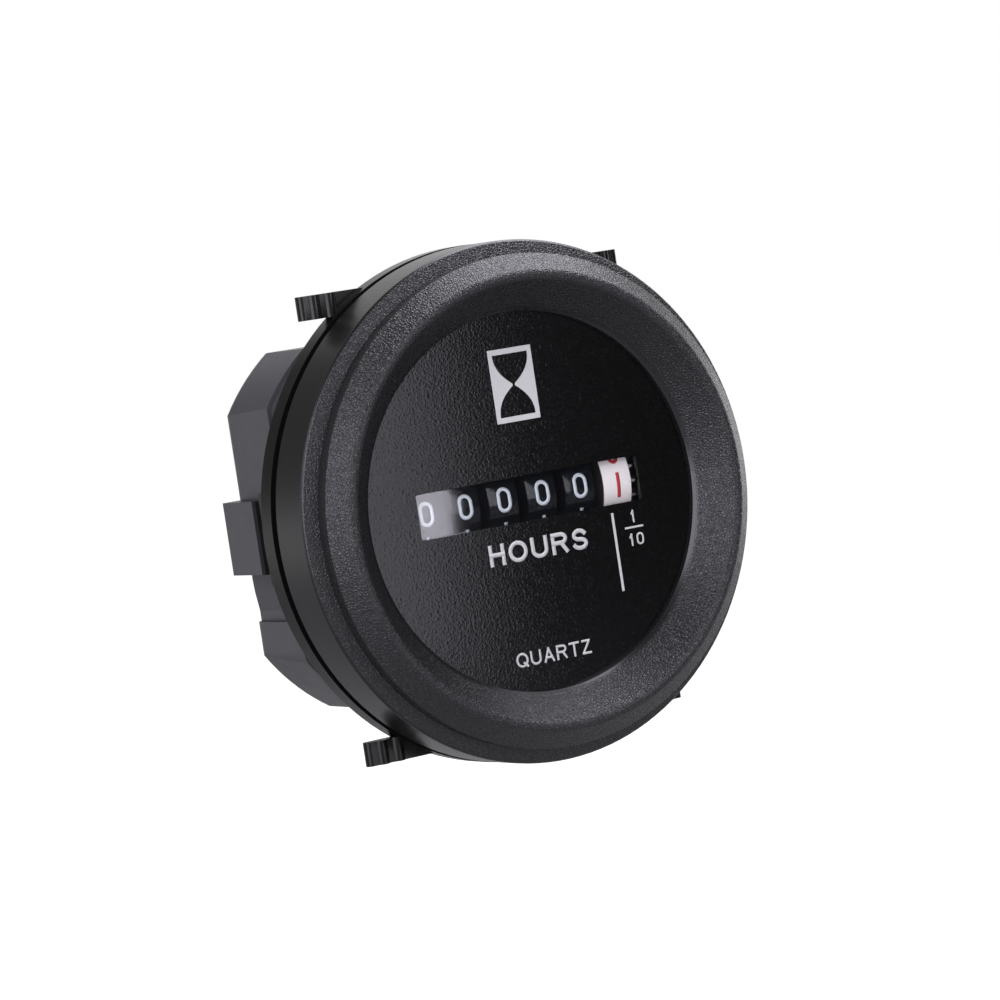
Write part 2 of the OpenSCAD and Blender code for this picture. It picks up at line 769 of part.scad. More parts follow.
// Arbor between the gear plate and the right side plate, with a thinner pivot at each end
module arbor(axis) {
    disc(gear_plate_right - plate_t, plate_span + 2 * plate_t, axis, pivot_d / 2);
    disc(gear_plate_right + disc_gap, plate_span - 2 * disc_gap, axis, arbor_d / 2);
}

module reduction_gear() {
    color("#e6e4df") {
        arbor(reduction_axis);
        across(reduction_x, gear_t)
            translate(reduction_axis) gear(reduction_teeth, reduction_module, rotor_angle);
        across(drive_gear_x - disc_gap / 2, gear_t + disc_gap)
            translate(reduction_axis) gear(driver_teeth, drive_module, 180 + 180 / driver_teeth);
    }
}

module rotor_arbor() {
    color("#e6e4df") {
        arbor(rotor_axis);
        across(reduction_x - disc_gap / 2, gear_t + disc_gap)
            translate(rotor_axis)
                gear(driver_teeth, reduction_module, rotor_angle - 180 + 180 / driver_teeth);
    }
}

module rotor_magnet() {
    color("#4a4d52")
        difference() {
            disc(magnet_x, magnet_w, rotor_axis, magnet_r);
            disc(magnet_x - cut, magnet_w + 2 * cut, rotor_axis, arbor_d / 2 + seat_gap / 2);
        }
}

module gear_plate() {
    left = gear_plate_right - plate_t;
    wheel_clear = wheel_axis[0] + wheel_r + 3 * disc_gap;
    pegs = [for (y = peg_y) [y, peg_z]];
    color("#d9d6cc")
        difference() {
            union() {
                across(left, plate_t)
                    polygon([
                        upper_pillar + [plate_edge, plate_edge],
                        upper_pillar + [-plate_edge, plate_edge],
                        [wheel_clear, reduction_axis[1]],
                        [wheel_clear, rotor_axis[1]],
                        lower_pillar + [-plate_edge, plate_edge],
                        lower_pillar + [-plate_edge, -plate_edge],
                        pegs[1] + [plate_edge, -plate_edge],
                        pegs[1] + [plate_edge, plate_edge],
                        reduction_axis + [reduction_edge, 0]]);
                for (axis = [upper_pillar, lower_pillar])
                    disc(left, plate_t + plate_span, axis, pillar_d / 2);
                for (axis = pegs) {
                    disc(left, plate_t + stator_x - gear_plate_right, axis, peg_collar_r);
                    disc(left, plate_t + stator_x - gear_plate_right + stator_t, axis, peg_r);
                }
            }
            for (axis = [reduction_axis, rotor_axis])
                disc(left - cut, plate_t + 2 * cut, axis, pivot_d / 2 + run_gap);
            for (axis = [upper_pillar, lower_pillar])
                disc(plate_right - pilot_depth, pilot_depth + cut, axis, pilot_bore / 2);
        }
}

module stator() {
    yoke_top = rotor_axis[1] + yoke_half;
    leg_foot = coil_z - core_w / 2;
    opening_top = rotor_axis[1] - yoke_half;
    color("#9a9da1")
        across(stator_x, stator_t)
            difference() {
                translate([leg_front, leg_foot]) square([leg_rear - leg_front, yoke_top - leg_foot]);
                translate([leg_front + leg_w, leg_foot - cut])
                    square([leg_rear - leg_front - 2 * leg_w, opening_top - leg_foot + cut]);
                translate(rotor_axis) circle(magnet_r + air_gap);
                for (y = peg_y) translate([y, peg_z]) circle(peg_r + seat_gap);
            }
}

module coil_core() {
    color("#8d9094")
        translate([core_x, leg_front, coil_z - core_w / 2]) cube([core_t, leg_rear - leg_front, core_w]);
}

module coil_bobbin() {
    length = bobbin_y[1] - bobbin_y[0];
    color("#ecebe6")
        translate([coil_x, bobbin_y[0], coil_z])
            difference() {
                rotate([-90, 0, 0]) {
                    cylinder(r = bobbin_r, h = length);
                    for (y = [0, length - flange_t])
                        translate([0, 0, y]) cylinder(d = flange_d, h = flange_t);
                }
                translate([-core_t / 2 - seat_gap, -cut, -core_w / 2 - seat_gap])
                    cube([core_t + 2 * seat_gap, length + 2 * cut, core_w + 2 * seat_gap]);
            }
}

module coil_winding() {
    length = bobbin_y[1] - bobbin_y[0] - 2 * flange_t - 2 * seat_gap;
    color("#b06a35")
        translate([coil_x, bobbin_y[0] + flange_t + seat_gap, coil_z])
            rotate([-90, 0, 0])
                difference() {
                    cylinder(d = winding_d, h = length);
                    translate([0, 0, -cut]) cylinder(r = bobbin_r + seat_gap, h = length + 2 * cut);
                }
}

module circuit_board() {
    color("#1f5a38")
        along(board_front, board_t)
            difference() {
                square([board_w, board_h], center = true);
                for (place = frame_screw_at)
                    translate([place[0], place[2]]) circle(d = post_d + 2 * side_gap);
                for (side = [-1, 1]) {
                    translate(side * board_screw) circle(d = pilot_bore);
                    translate([side * terminal_pitch / 2, 0])
                        square([blade_t + 2 * seat_gap, blade_w / 2 + 2 * seat_gap], center = true);
                }
            }
}

// Rectangular part with two rows of legs on the board's front
module timer_chip() {
    body_front = board_front - chip_size[1] - chip_leg[1] / 2;
    leg_x = chip_size[0] / 2 + chip_leg[0] / 4;
    color("#202123")
        translate([chip_at[0], 0, chip_at[1]]) {
            along(body_front, chip_size[1]) square([chip_size[0], chip_size[2]], center = true);
            for (side = [-1, 1], i = [-1.5 : 1.5])
                translate([side * leg_x, 0, i * chip_leg_pitch])
                    along(board_front - chip_leg[1], chip_leg[1])
                        square([chip_leg[0], chip_leg[2]], center = true);
        }
}

// Round part of [diameter, length] lying along Z on the board's front, on its two bent leads
module axial_part(place, size) {
    rise = standoff + size[0] / 2;
    translate([place[0], board_front, place[1]]) {
        translate([0, -rise, -size[1] / 2]) cylinder(d = size[0], h = size[1]);
        for (end = [-1, 1])
            translate([0, 0, end * (size[1] / 2 - lead_d)]) rotate([90, 0, 0])
                cylinder(d = lead_d, h = rise);
    }
}

module quartz_crystal() {
    color("#c9ccd1") axial_part(crystal_at, crystal_size);
}

module diode() {
    color("#2b2b2d") axial_part(diode_at, diode_size);
}

module resistors() {
    color("#c8b48a")
        for (place = resistor_at) axial_part(place, resistor_size);
}

module capacitor() {
    color("#23364f")
        translate([capacitor_at[0], board_front, capacitor_at[1]]) rotate([90, 0, 0])
            cylinder(d = capacitor_size[0], h = capacitor_size[1]);
}

// Blade with its shoulder inside the rear wall and a tail through the board
module terminal(x) {
    tip = housing_depth + blade_len;
    half = blade_w / 2;
    root = rear_inside - shoulder_t;
    tail_end = board_front - tail_rest;
    color("#c8cbd0")
        across(x - blade_t / 2, blade_t)
            difference() {
                union() {
                    polygon([[root, -half], [tip - blade_chamfer, -half], [tip, blade_chamfer - half],
                        [tip, half - blade_chamfer], [tip - blade_chamfer, half], [root, half]]);
                    translate([tail_end, -half / 2]) square([rear_inside - tail_end, half]);
                    translate([root, -half - shoulder_t])
                        square([shoulder_t, 2 * (half + shoulder_t)]);
                }
                translate([tip - half, 0]) circle(d = blade_hole_d);
            }
}

module positive_terminal() {
    terminal(terminal_pitch / 2);
}

module negative_terminal() {
    terminal(-terminal_pitch / 2);
}

// Screw along +Z from the underside of its head, with a cross recess
module screw(length) {
    slot = head_d * 0.6;
    translate([0, 0, -cut]) cylinder(d = screw_d, h = length + cut);
    difference() {
        translate([0, 0, -head_h]) cylinder(d = head_d, h = head_h);
        for (turn = [0, 90])
            rotate(turn)
                translate([-slot / 2, -slot / 8, -head_h - cut]) cube([slot, slot / 4, head_h / 2 + cut]);
    }
}

module frame_screws() {
    length = bar_w + pilot_depth - pilot_spare;
    color("#8a8d92")
        for (place = frame_screw_at)
            translate(place - [0, bar_w / 2, 0]) rotate([-90, 0, 0]) screw(length);
}

module plate_screws() {
    color("#8a8d92")
        for (axis = [upper_pillar, lower_pillar])
            translate([plate_right + plate_t, axis[0], axis[1]]) rotate([0, -90, 0])
                screw(plate_t + pilot_depth - pilot_spare);
}

module board_screws() {
    color("#8a8d92")
        for (side = [-1, 1])
            translate([side * board_screw[0], board_front, side * board_screw[1]]) rotate([-90, 0, 0])
                screw(board_t + board_gap + rear_wall / 4);
}

bezel();
dial_plate();
window_pane();
panel_gasket();
retaining_ring();
rear_housing();
counter_frame();
wheel_axle();
hour_wheel(1);  // hour_wheel_1
hour_wheel(2);  // hour_wheel_2
hour_wheel(3);  // hour_wheel_3
hour_wheel(4);  // hour_wheel_4
hour_wheel(5);  // hour_wheel_5
tenths_wheel();
pinion_axle();
transfer_pinion(1);  // transfer_pinion_1
transfer_pinion(2);  // transfer_pinion_2
transfer_pinion(3);  // transfer_pinion_3
transfer_pinion(4);  // transfer_pinion_4
transfer_pinion(5);  // transfer_pinion_5
drive_gear();
drive_stud();
reduction_gear();
rotor_arbor();
rotor_magnet();
gear_plate();
stator();
coil_core();
coil_bobbin();
coil_winding();
circuit_board();
timer_chip();
quartz_crystal();
capacitor();
diode();
resistors();
positive_terminal();
negative_terminal();
frame_screws();
plate_screws();
board_screws();
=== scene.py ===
import math

import bmesh
import bpy
from mathutils import Matrix, Vector


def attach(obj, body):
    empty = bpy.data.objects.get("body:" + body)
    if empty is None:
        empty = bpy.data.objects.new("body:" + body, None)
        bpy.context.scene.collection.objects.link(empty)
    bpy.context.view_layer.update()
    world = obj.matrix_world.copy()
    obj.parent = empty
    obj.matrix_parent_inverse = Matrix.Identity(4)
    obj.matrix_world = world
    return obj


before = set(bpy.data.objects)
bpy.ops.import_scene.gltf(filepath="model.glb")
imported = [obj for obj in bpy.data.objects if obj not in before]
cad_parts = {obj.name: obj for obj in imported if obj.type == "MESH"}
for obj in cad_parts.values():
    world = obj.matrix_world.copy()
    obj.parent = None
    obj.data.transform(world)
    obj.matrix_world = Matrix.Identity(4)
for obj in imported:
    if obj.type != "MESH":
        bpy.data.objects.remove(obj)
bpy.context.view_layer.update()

# Rear housing: a barrel moulded in satin dark grey thermoplastic, with two side flats, a latch
# block on each flat and a rear wall. The front of each latch block carries painted shade, near black,
# for the dark gap beside the ring, and a raised plus and minus sign stand beside the terminals.
MM = 0.001


class Wire:
    """A socket in a node tree. Sums written on it become Math nodes, and node makes any other."""

    def __init__(self, tree, socket=None):
        self.tree, self.socket = tree, socket

    def node(self, kind, settings=None, sockets=None, out=0):
        made = self.tree.nodes.new(kind)
        for name, value in (settings or {}).items():
            setattr(made, name, value)
        for name, value in (sockets or {}).items():
            if isinstance(value, Wire):
                self.tree.links.new(value.socket, made.inputs[name])
            else:
                made.inputs[name].default_value = value
        return Wire(self.tree, made.outputs[out])

    def feed(self, node, socket):
        self.tree.links.new(self.socket, self.tree.nodes[node].inputs[socket])

    def math(self, operation, a, b=0.0):
        return self.node("ShaderNodeMath", {"operation": operation}, {0: a, 1: b})

    def __add__(self, other):
        return self.math("ADD", self, other)

    def __radd__(self, other):
        return self.math("ADD", other, self)

    def __sub__(self, other):
        return self.math("SUBTRACT", self, other)

    def __rsub__(self, other):
        return self.math("SUBTRACT", other, self)

    def __mul__(self, other):
        return self.math("MULTIPLY", self, other)

    def __truediv__(self, other):
        return self.math("DIVIDE", self, other)

    def __pow__(self, other):
        return self.math("POWER", self, other)


class Finish:
    """A new material with its Principled shader, and the patterns that its sums start from."""

    def __init__(self, name, **values):
        self.material = bpy.data.materials.new(name)
        self.material.use_nodes = True
        self.wire = Wire(self.material.node_tree)
        self.place = self.wire.node("ShaderNodeTexCoord", out="Object")
        for socket, value in values.items():
            self.set(socket.replace("_", " "), value)

    def set(self, socket, value):
        if isinstance(value, Wire):
            value.feed("Principled BSDF", socket)
        else:
            self.material.node_tree.nodes["Principled BSDF"].inputs[socket].default_value = value

    def axis(self, name):
        return self.wire.node("ShaderNodeSeparateXYZ", None, {0: self.place}, out=name)

    def noise(self, size, detail=2.0, place=None):
        return self.wire.node("ShaderNodeTexNoise", None, {
            "Vector": place or self.place, "Scale": 1 / (size * MM), "Detail": detail})

    def cells(self, size, place=None):
        """Distance to the nearest edge in a pattern of cells of the given size."""
        return self.wire.node("ShaderNodeTexVoronoi", {"feature": "DISTANCE_TO_EDGE"}, {
            "Vector": place or self.place, "Scale": 1 / (size * MM)})

    def bent(self, size, amount):
        """Object coordinates pushed about by noise of the given size, to bend a regular pattern."""
        push = self.wire.node("ShaderNodeTexNoise", None, {
            "Vector": self.place, "Scale": 1 / (size * MM), "Detail": 1.0}, out="Color")
        push = self.wire.node("ShaderNodeVectorMath", {"operation": "SCALE"}, {
            0: push, "Scale": amount * MM})
        return self.wire.node("ShaderNodeVectorMath", {"operation": "ADD"}, {0: self.place, 1: push})

    def drawn_out(self, x, y, z):
        """Object coordinates times a factor on each axis. A small one draws a pattern out that way."""
        return self.wire.node("ShaderNodeVectorMath", {"operation": "MULTIPLY"}, {
            0: self.place, 1: (x, y, z)})

    def relief(self, height, depth, strength=1.0):
        bump = self.wire.node("ShaderNodeBump", None, {
            "Height": height, "Distance": depth * MM, "Strength": strength})
        self.set("Normal", bump)


def ramp(value, low, high):
    """Zero at low and one at high, with a soft start and end."""
    return value.node("ShaderNodeMapRange", {"interpolation_type": "SMOOTHSTEP"}, {
        "Value": value, "From Min": low, "From Max": high})


def mix(share, a, b):
    return share.node("ShaderNodeMix", {"data_type": "RGBA"}, {0: share, 6: a, 7: b}, out=2)


def grey(level, tint=(1.0, 1.0, 1.0)):
    return (level * tint[0], level * tint[1], level * tint[2], 1.0)


def darker(colour, share):
    return tuple(share * c for c in colour[:3]) + (1.0,)


def dress(finish, *nodes):
    for name in nodes:
        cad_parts[name].data.materials.clear()
        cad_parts[name].data.materials.append(finish.material)


def moulded(name, colour, roughness, grain=0.05, depth=0.004):
    """Moulded plastic: a slight mottle in colour and gloss, and the tool's fine erosion."""
    mottle_size, mottle_shade = 6.0, 0.82
    sheen_size, sheen_spread, erosion = 1.3, 0.12, 0.6
    made = Finish(name)
    made.colour = mix(made.noise(mottle_size, 3.0), colour, darker(colour, mottle_shade))
    made.set("Base Color", made.colour)
    made.set("Roughness", roughness + (made.noise(sheen_size) - 0.5) * sheen_spread)
    made.relief(made.noise(grain, 1.0), depth, erosion)
    return made


def carry(piece, body):
    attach(piece, body)


def new_piece(name, mesh, finish=None):
    piece = bpy.data.objects.new(name, mesh)
    bpy.context.scene.collection.objects.link(piece)
    if finish:
        mesh.materials.append(finish.material)
    return piece


def slab(name, outlines, front, back, finish):
    """Flat outlines in [x, z] millimetres, raised from y = back to y = front."""
    made = bmesh.new()
    for outline in outlines:
        low, high = [[made.verts.new((x * MM, y * MM, z * MM)) for x, z in outline] for y in (back, front)]
        made.faces.new(low)
        made.faces.new(high[::-1])
        for i in range(len(outline)):
            made.faces.new((low[i - 1], high[i - 1], high[i], low[i]))
    made.normal_update()
    bmesh.ops.triangulate(made, faces=[f for f in made.faces if len(f.verts) > 4])
    bmesh.ops.recalc_face_normals(made, faces=made.faces)
    mesh = bpy.data.meshes.new(name)
    made.to_mesh(mesh)
    made.free()
    return new_piece(name, mesh, finish)


def rectangle(x0, z0, x1, z1):
    return [(x0, z0), (x1, z0), (x1, z1), (x0, z1)]


COOL = (0.93, 0.92, 1.0, 1.0)
housing_finish = moulded("housing_satin", grey(0.056, (1.0, 0.98, 1.10)), 0.40, 0.06, 0.003)
housing_finish.set("Specular Tint", COOL)
latch_front, latch_foot = 14.6 * MM, 21.0 * MM
strip_end, soft_edge = latch_front + 1.7 * MM, 0.1 * MM
along_barrel = housing_finish.axis("Y")
from_middle = along_barrel.math("ABSOLUTE", housing_finish.axis("X"))
# painted shade: a band at the front of each latch block, where the gap beside the ring lies in shadow, is
# coloured near black and made metallic so that it loses its sheen
painted_gap_shade = ramp(along_barrel, strip_end + soft_edge, strip_end) * ramp(
    along_barrel, latch_front - soft_edge, latch_front) * ramp(
    from_middle, latch_foot, latch_foot + soft_edge)
housing_finish.set("Base Color", mix(painted_gap_shade, housing_finish.colour, grey(0.003)))
housing_finish.set("Metallic", painted_gap_shade)
dress(housing_finish, "rear_housing")

rear_y, sign_height = 24.6, 0.25
sign_x, sign_z, sign_arm, sign_half = 8.0, 8.0, 1.5, 0.3
minus_sign = rectangle(sign_arm, sign_half, -sign_arm, -sign_half)
plus_sign = []
arm = [(sign_half, sign_half), (sign_half, sign_arm), (-sign_half, sign_arm)]
for quarter in range(4):
    plus_sign += arm
    arm = [(-z, x) for x, z in arm]
for name, side, outline in (("plus_sign", 1, plus_sign), ("minus_sign", -1, minus_sign)):
    outline = [(side * sign_x + x, sign_z + z) for x, z in outline]
    sign = slab(name, [outline], rear_y + sign_height, rear_y, housing_finish)
    carry(sign, "meter_case")


# Terminals: blades stamped from tinned brass strip. They pass the rear wall from inside,
# stop on their shoulders and are soldered to the circuit board.
def metal(name, size, detail, factors, dull, bright, roughness, spread, depth=0.0):
    """Bare metal whose colour, gloss and relief follow the drawn-out marks of its making."""
    made = Finish(name, Metallic=1.0)
    marks = made.noise(size, detail, made.drawn_out(*factors))
    made.set("Base Color", mix(marks, dull, bright))
    made.set("Roughness", roughness + marks * spread)
    if depth:
        made.relief(marks, depth)
    return made


tinned = metal("tinned_brass", 0.12, 2.0, (1.0, 0.06, 1.0), grey(0.62, (1.0, 0.97, 0.92)),
    grey(0.76, (1.0, 0.98, 0.95)), 0.24, 0.16, 0.004)
dress(tinned, "positive_terminal", "negative_terminal")

# Circuit board: green glass laminate with copper tracks under the solder mask. It carries
# the chip, the crystal, the capacitor, a diode and two resistors, all on its front.
board = Finish("board_mask", Roughness=0.35)
tracks, weave = ramp(board.cells(2.2), 0.06, 0.09), board.noise(0.4, 1.0)
board.set("Base Color", mix(tracks, (0.05, 0.24, 0.10, 1.0), (0.02, 0.12, 0.06, 1.0)))
board.relief(tracks * 0.6 + weave * 0.4, 0.02)
dress(board, "circuit_board")
dress(moulded("chip_epoxy", grey(0.018), 0.55, 0.08, 0.006), "timer_chip", "diode")
dress(moulded("capacitor_sleeve", (0.03, 0.06, 0.12, 1.0), 0.25), "capacitor")
dress(metal("drawn_can", 0.2, 2.0, (1.0, 1.0, 0.08), grey(0.66), grey(0.78), 0.22, 0.14), "quartz_crystal")

lacquer = Finish("resistor_lacquer", Roughness=0.38)
code_pitch = 1.5 * MM
code_bands = ramp(lacquer.wire.math("FRACT", lacquer.axis("Z") / code_pitch), 0.62, 0.66)
lacquer.set("Base Color", mix(code_bands, (0.62, 0.50, 0.32, 1.0), (0.16, 0.06, 0.03, 1.0)))
dress(lacquer, "resistors")

# Stepping motor: a stamped iron stator round a ferrite rotor, and a coil of enamelled
# copper on a nylon bobbin whose iron core closes the magnetic path.
iron = metal("stamped_iron", 0.5, 3.0, (1.0, 1.0, 1.0), grey(0.36), grey(0.50), 0.38, 0.2, 0.006)
dress(iron, "stator", "coil_core")
dress(moulded("ferrite", grey(0.07), 0.6, 0.1, 0.01), "rotor_magnet")

copper = Finish("enamelled_copper", Metallic=1.0, Coat_Weight=0.6)
wire_pitch = 0.16 * MM
turn = copper.wire.math("SINE", copper.axis("Y") * (2 * math.pi / wire_pitch))
# painted shade: the copper is coloured darker in the grooves between the turns
copper.set("Base Color", mix(turn * 0.5 + 0.5, (0.30, 0.10, 0.04, 1.0), (0.66, 0.30, 0.13, 1.0)))
copper.set("Roughness", 0.30 + copper.noise(0.6) * 0.12)
copper.relief(turn, 0.03)
dress(copper, "coil_winding")

# Counter frame and gear plate: black acetal mouldings. The frame's two side plates hold the
# axles, two cross bars join them, and screws through the bars fix the frame to the housing.
dress(moulded("black_acetal", grey(0.012, (1.0, 1.0, 1.05)), 0.36), "counter_frame", "gear_plate")
dress(moulded("white_nylon", (0.74, 0.73, 0.69, 1.0), 0.45), "coil_bobbin", "drive_gear",
    "reduction_gear", "rotor_arbor", *["transfer_pinion_%d" % k for k in range(1, 6)])
turned = metal("turned_steel", 0.09, 1.0, (1.0, 0.2, 0.2), grey(0.52), grey(0.64), 0.22, 0.14, 0.003)
dress(turned, "wheel_axle", "pinion_axle", "drive_stud", "frame_screws", "plate_screws", "board_screws")

# Number wheels: five black drums that count hours and a white one that counts tenths. The white
# wheel's gear and its carry disc are coloured near black as painted shade, all but the white tooth
# tips. The figures are printed round each drum, 36 degrees apart and growing downwards, in white
# ink on the black drums and in red on the white one.
wheel_y, wheel_z, wheel_r, wheel_pitch = 1.65, 0.42, 6.2, 5.08
drum_w, drum_before, crown = 3.8, 2.35, 0.035
black_wheel = Finish("wheel_black", Specular_IOR_Level=0.24)
scuff = black_wheel.noise(0.7, 3.0)
black_wheel.set("Base Color", mix(scuff, grey(0.003, (0.7, 0.95, 1.7)), grey(0.006, (0.8, 1.0, 1.5))))
black_wheel.set("Roughness", 0.05 + scuff * 0.04)
pitches = black_wheel.axis("X") / (wheel_pitch * MM) + (drum_before / wheel_pitch + 2.5)
across_drum = black_wheel.wire.math("FRACT", pitches) * (2 * wheel_pitch / drum_w) - 1
black_wheel.relief(black_wheel.noise(0.3, 1.0) * 0.01 - across_drum * across_drum, crown)
dress(black_wheel, *["hour_wheel_%d" % k for k in range(1, 6)])

disc_end, gear_start, tip_start, tip_length = 10.37 * MM, 14.15 * MM, 14.6 * MM, 0.65 * MM
tip_foot_r, tip_r, tip_edge = 4.95 * MM, 5.25 * MM, 0.03 * MM
first_tooth, tooth_step, tooth_half = math.radians(40), math.radians(18), 0.25
white_wheel = Finish("wheel_white")
across_y, across_z = white_wheel.axis("Y") - wheel_y * MM, white_wheel.axis("Z") - wheel_z * MM
from_axle = (across_y * across_y + across_z * across_z) ** 0.5
along_axle = white_wheel.axis("X")
around_axle = white_wheel.wire.math("ARCTAN2", across_z, across_y)
across_tooth = white_wheel.wire.math("FRACT", (around_axle - first_tooth) / tooth_step + 0.5) - 0.5
narrowing = 1 - white_wheel.wire.math("ABSOLUTE", across_tooth) / tooth_half
wedge = tip_start + narrowing * tip_length - along_axle
tooth_tip = ramp(from_axle, tip_foot_r, tip_r) * ramp(wedge, -tip_edge, tip_edge)
shaded_gear_side = ramp(along_axle, gear_start, gear_start + 0.1 * MM)
shaded_carry_disc = ramp(along_axle, disc_end + 0.05 * MM, disc_end)
drum_white = mix(white_wheel.noise(6.0, 3.0), (0.90, 0.84, 0.84, 1.0), (0.82, 0.76, 0.77, 1.0))
# painted shade: the gear side beyond its tooth tips, and the carry disc, are coloured near black where shade
# falls on the white moulding
white_wheel.set("Base Color", mix(shaded_gear_side * (1 - tooth_tip) + shaded_carry_disc, drum_white,
    (0.02, 0.02, 0.022, 1.0)))
white_wheel.set("Roughness", 0.34 + white_wheel.noise(1.3) * 0.08)
white_wheel.relief(white_wheel.noise(0.05, 1.0), 0.002)
dress(white_wheel, "tenths_wheel")


def ink(name, colour):
    """Screen ink: even colour with slight pinholes and a soft gloss."""
    made = Finish(name)
    pinholes = made.noise(0.12, 2.0)
    made.set("Base Color", mix(pinholes, colour, darker(colour, 0.86)))
    made.set("Roughness", 0.46 + pinholes * 0.1)
    return made


def arc(x, z, rx, rz, start, end):
    """Points of an elliptical arc, one every ten degrees or so."""
    steps = max(2, round(abs(end - start) / 10))
    angles = [math.radians(start + (end - start) * i / steps) for i in range(steps + 1)]
    return [(x + rx * math.cos(a), z + rz * math.sin(a)) for a in angles]


def loop(x, z, rx, rz):
    return arc(x, z, rx, rz, 90, 450)


# Centre lines of the characters in a box from -1 to 1 each way
oval = arc(0, 0.42, 1, 0.58, 0, 180) + arc(0, -0.42, 1, 0.58, 180, 360) + [(1, 0.42)]
six = [loop(0, -0.42, 0.95, 0.58), [(-0.95, -0.42)] + arc(0.75, -0.42, 1.7, 1.42, 175, 96)]
STROKES = {
    "0": [oval],
    "1": [[(0.15, -1), (0.15, 1)], [(0.15, 1), (-0.55, 0.5)]],
    "|": [[(0.1, -1), (0.1, 1)]],
    "2": [arc(0, 0.45, 0.95, 0.55, 165, -35) + [(-0.9, -0.95)], [(-0.95, -1), (0.95, -1)]],
    "3": [arc(0, 0.5, 0.85, 0.5, 155, -90), arc(0, -0.5, 0.95, 0.5, 90, -155)],
    "4": [[(0.45, -1), (0.45, 1)], [(0.45, 1), (-0.95, -0.4)], [(-0.95, -0.4), (0.95, -0.4)]],
    "5": [[(0.8, 1), (-0.7, 1)], [(-0.7, 1), (-0.78, 0.05)], arc(0, -0.37, 0.95, 0.63, 140, -150)],
    "6": six,
    "7": [[(-0.9, 1), (0.9, 1)], [(0.9, 1), (-0.25, -1)]],
    "8": [loop(0, 0.5, 0.82, 0.5), loop(0, -0.5, 0.95, 0.5)],
    "9": [[(-x, -z) for x, z in line] for line in six],
    "A": [[(-0.95, -1), (0, 1)], [(0.95, -1), (0, 1)], [(-0.55, -0.4), (0.55, -0.4)]],
    "H": [[(-1, -1), (-1, 1)], [(1, -1), (1, 1)], [(-1, 0.05), (1, 0.05)]],
    "O": [loop(0, 0, 1, 1)],
    "Q": [loop(0, 0, 1, 1), [(0.35, -0.5), (0.9, -1.02)]],
    "R": [[(-1, -1), (-1, 1)], [(-1, 1)] + arc(0.2, 0.52, 0.72, 0.48, 90, -90) + [(-1, 0.04)],
        [(0.2, 0), (0.9, -0.95)]],
    "S": [arc(0, 0.5, 0.86, 0.5, 25, 270) + arc(0, -0.5, 0.95, 0.5, 90, -158)],
    "T": [[(-1, 1), (1, 1)], [(0, 1), (0, -1)]],
    "U": [[(-1, 1)] + arc(0, -0.3, 1, 0.7, 180, 360) + [(1, 1)]],
    "Z": [[(-0.9, 1), (0.8, 1)], [(0.8, 0.95), (-0.9, -0.95)], [(-0.9, -1), (0.95, -1)]],
}
lap_lift, ink_lift, ink_thick, ink_step = 0.0015, 0.002, 0.02, 0.12


def strokes(name, characters, width):
    """A curve object in millimetres: each character's centre lines, placed and squared off at the ends.
    characters holds (sign, x, z, whole width, whole height). A line that crosses another lies
    just over it."""
    curve = bpy.data.curves.new(name, "CURVE")
    curve.dimensions = "3D"
    for sign, x, z, wide, tall in characters:
        for lap, line in enumerate(STROKES[sign]):
            line = [Vector((x + u * (wide - width) / 2, z + v * (tall - width) / 2)) for u, v in line]
            closed = (line[0] - line[-1]).length < 1e-4
            if closed:
                line = line[:-1]
            else:
                line[0] = line[0] + (line[0] - line[1]).normalized() * width / 2
                line[-1] = line[-1] + (line[-1] - line[-2]).normalized() * width / 2
            spline = curve.splines.new("POLY")
            spline.points.add(len(line) - 1)
            for point, place in zip(spline.points, line):
                point.co = (place.x, place.y, lap * lap_lift, 1.0)
            spline.use_cyclic_u = closed
    return new_piece(name, curve)


# Print: each centre line becomes a thin raised band of ink, laid flat or round a drum
printing = bpy.data.node_groups.new("printed_strokes", "GeometryNodeTree")
inputs = {"Geometry": "Geometry", "Stroke": "Float", "Around": "Float", "Axis Y": "Float",
    "Axis Z": "Float", "Finish": "Material"}
for label, kind in inputs.items():
    printing.interface.new_socket(label, in_out="INPUT", socket_type="NodeSocket" + kind)
printing.interface.new_socket("Geometry", in_out="OUTPUT", socket_type="NodeSocketGeometry")
printing.nodes.new("NodeGroupOutput")
press = Wire(printing)
lines, stroke, around, axis_y, axis_z, coat = [press.node("NodeGroupInput", out=label) for label in inputs]
fine = press.node("GeometryNodeResampleCurve", {"mode": "LENGTH"}, {"Curve": lines, "Length": ink_step})
flat = press.node("GeometryNodeSetCurveNormal", {"mode": "Z_UP"}, {"Curve": fine})
section = press.node("GeometryNodeCurvePrimitiveQuadrilateral", None, {"Width": stroke, "Height": ink_thick})
band = press.node("GeometryNodeCurveToMesh", None, {
    "Curve": flat, "Profile Curve": section, "Fill Caps": True})
point = press.node("GeometryNodeInputPosition")
sideways, upwards, raised = [
    press.node("ShaderNodeSeparateXYZ", None, {0: point}, out=axis) for axis in "XYZ"]
depth = raised + ink_lift + ink_thick / 2
angle = upwards / wheel_r
reach = depth + wheel_r


def chosen(round_value, flat_value):
    return press.node("ShaderNodeMix", {"data_type": "FLOAT"}, {0: around, 2: flat_value, 3: round_value})


laid = press.node("ShaderNodeCombineXYZ", None, {
    "X": sideways,
    "Y": chosen(reach * (press.math("COSINE", angle) * -1.0), depth * -1.0) + axis_y,
    "Z": chosen(reach * press.math("SINE", angle), upwards) + axis_z})
metres = press.node("ShaderNodeVectorMath", {"operation": "SCALE"}, {0: laid, "Scale": MM})
moved = press.node("GeometryNodeSetPosition", None, {"Geometry": band, "Position": metres})
real = press.node("GeometryNodeRealizeInstances", None, {0: moved})
inked = press.node("GeometryNodeSetMaterial", None, {"Geometry": real, "Material": coat})
inked.feed("Group Output", "Geometry")


